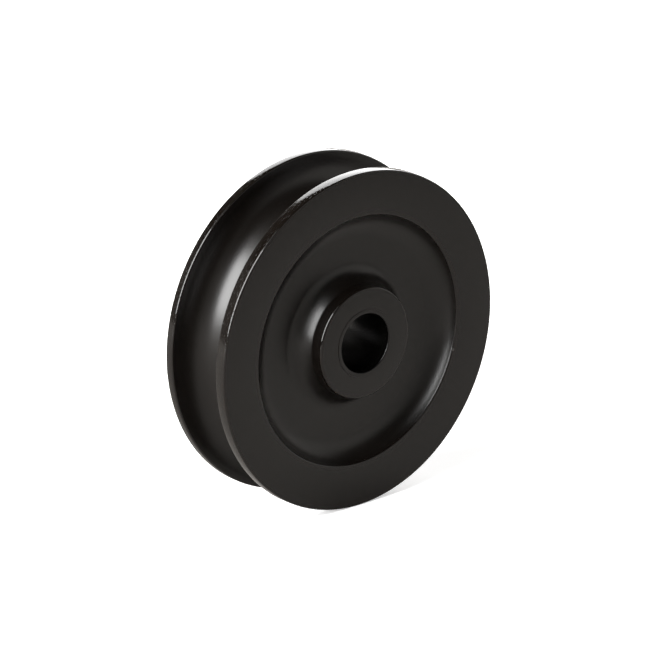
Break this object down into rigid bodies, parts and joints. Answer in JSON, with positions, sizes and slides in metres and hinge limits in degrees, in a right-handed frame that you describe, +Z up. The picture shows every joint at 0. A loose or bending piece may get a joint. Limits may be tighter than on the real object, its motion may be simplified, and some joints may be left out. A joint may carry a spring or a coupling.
{
  "type": "belt pulley",
  "caption": "Belt pulley with a round-bottomed groove between two thin flanges, a dished web and a thick hub, turning on a plain sleeve.",
  "frame": {"origin": "centre of the bore, halfway between the sleeve's two ends", "axes": "+Y along the turning axis, from the front face to the rear face; +Z up"},
  "size_m": [0.08, 0.025, 0.08],
  "materials": {
    "wheel": "black thermoset moulding, satin on the faces and polished on the rim and in the groove",
    "sleeve": "black bearing plastic, smooth and lightly glossy"
  },
  "bodies": {
    "sleeve": {"bearing_sleeve": "sleeve"},
    "wheel": {"pulley_wheel": "wheel"}
  },
  "joints": [
    {"name": "wheel_spin", "type": "hinge", "parent": "sleeve", "child": "wheel", "pos_m": [0, 0, 0], "axis": [0, 1, 0], "continuous": true}
  ]
}
